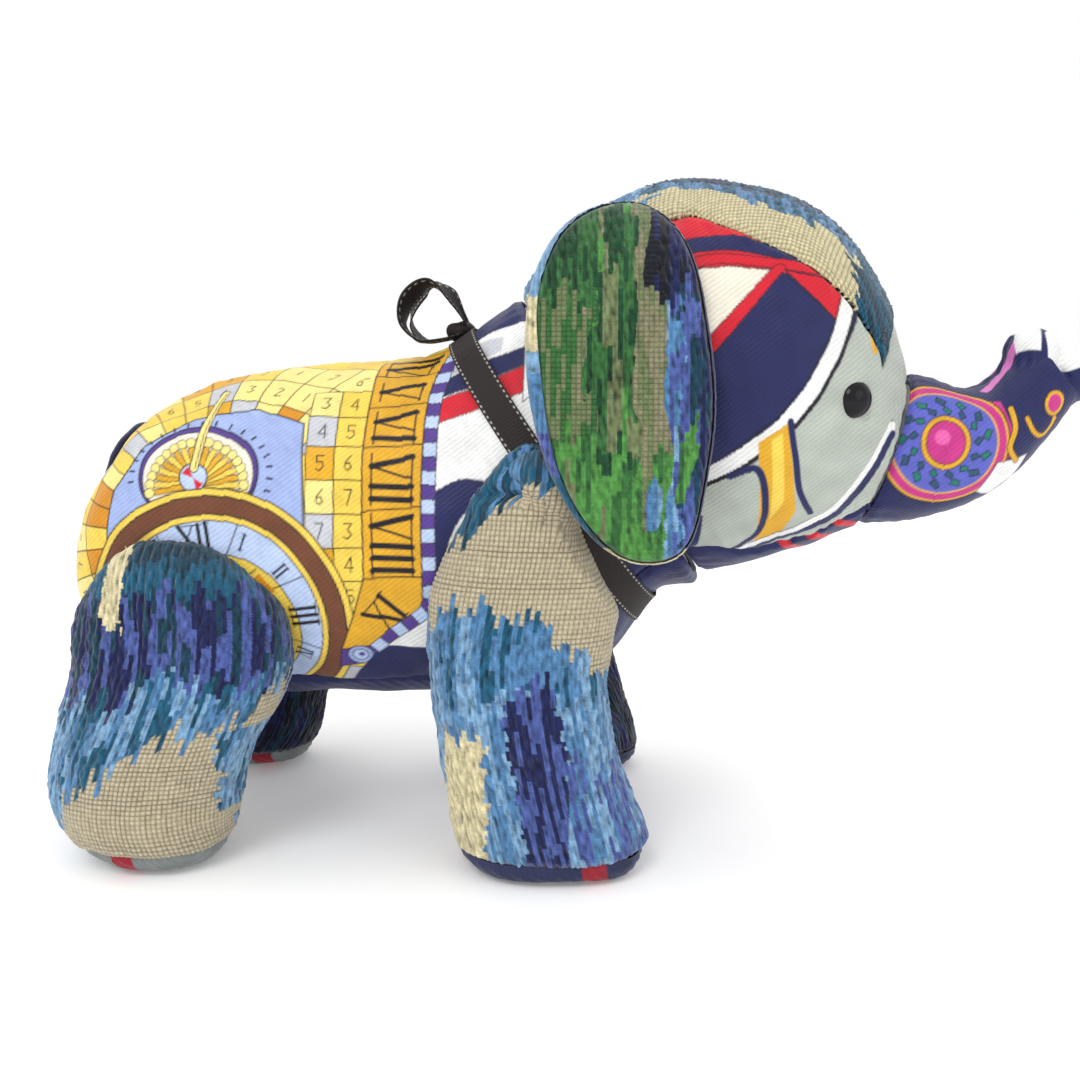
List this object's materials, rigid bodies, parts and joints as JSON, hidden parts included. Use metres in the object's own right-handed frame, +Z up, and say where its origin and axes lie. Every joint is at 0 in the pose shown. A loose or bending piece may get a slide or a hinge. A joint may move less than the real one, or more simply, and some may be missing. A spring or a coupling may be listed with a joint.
{
  "type": "stuffed elephant",
  "caption": "Sewn patchwork toy elephant standing on padded feet, with hanging ears, a raised trunk, a short tail and a ribbon bow round its neck.",
  "frame": {"origin": "middle of the bounding box, on the floor under the soles", "axes": "+X towards the trunk's tip, +Y to the elephant's left, +Z up"},
  "size_m": [0.4424, 0.185, 0.2754],
  "materials": {
    "printed_silk": "silk twill with a printed geometric pattern, satin",
    "cheek_silk": "silk twill in grey, navy, red and white fields, satin",
    "navy_silk": "plain navy silk twill, satin",
    "trunk_silk": "silk twill with a printed leaf medallion on navy, satin",
    "sole_silk": "silk twill, satin",
    "leg_weave": "loop and cut pile weave, teal, navy and beige, matte",
    "ear_weave": "loop and cut pile weave, greens, matte",
    "crown_weave": "loop and cut pile weave, beige, teal and navy, matte",
    "filling": "polyester fibre filling, matte",
    "ribbon": "grosgrain ribbon, dark brown with white stitched edges, matte",
    "eye": "moulded, polished",
    "washer": "moulded, matte"
  },
  "bodies": {
    "toy": {"body_panel_right": "printed_silk", "body_panel_left": "printed_silk", "belly_gusset": "navy_silk", "torso_stuffing": "filling", "head_panel_right": "cheek_silk", "head_panel_left": "cheek_silk", "head_gusset": "crown_weave", "chin_gusset": "navy_silk", "head_stuffing": "filling", "eye_right": "eye", "eye_washer_right": "washer", "eye_left": "eye", "eye_washer_left": "washer", "trunk_panel_right": "trunk_silk", "trunk_panel_left": "trunk_silk", "trunk_stuffing": "filling", "leg_cover_rear_right": "leg_weave", "sole_rear_right": "sole_silk", "leg_stuffing_rear_right": "filling", "leg_cover_rear_left": "leg_weave", "sole_rear_left": "sole_silk", "leg_stuffing_rear_left": "filling", "leg_cover_front_right": "leg_weave", "sole_front_right": "sole_silk", "leg_stuffing_front_right": "filling", "leg_cover_front_left": "leg_weave", "sole_front_left": "sole_silk", "leg_stuffing_front_left": "filling", "ribbon_band": "ribbon", "ribbon_knot": "ribbon", "ribbon_loop_right": "ribbon", "ribbon_loop_left": "ribbon"},
    "ear_right": {"ear_face_right": "ear_weave", "ear_lining_right": "ear_weave", "ear_padding_right": "filling"},
    "ear_left": {"ear_face_left": "ear_weave", "ear_lining_left": "ear_weave", "ear_padding_left": "filling"},
    "tail": {"tail_strip": "navy_silk", "tail_knot": "navy_silk"}
  },
  "joints": [
    {"name": "ear_right_swing", "type": "hinge", "parent": "toy", "child": "ear_right", "pos_m": [0.01925, -0.04, 0.2625], "axis": [-1, 0, 0], "range_deg": [0, 75]},
    {"name": "ear_left_swing", "type": "hinge", "parent": "toy", "child": "ear_left", "pos_m": [0.01925, 0.04, 0.2625], "axis": [1, 0, 0], "range_deg": [0, 75]},
    {"name": "tail_lift", "type": "hinge", "parent": "toy", "child": "tail", "pos_m": [-0.185, 0.002, 0.1749], "axis": [0, 1, 0], "range_deg": [0, 35], "stiffness_Nm_per_rad": 0.002}
  ]
}
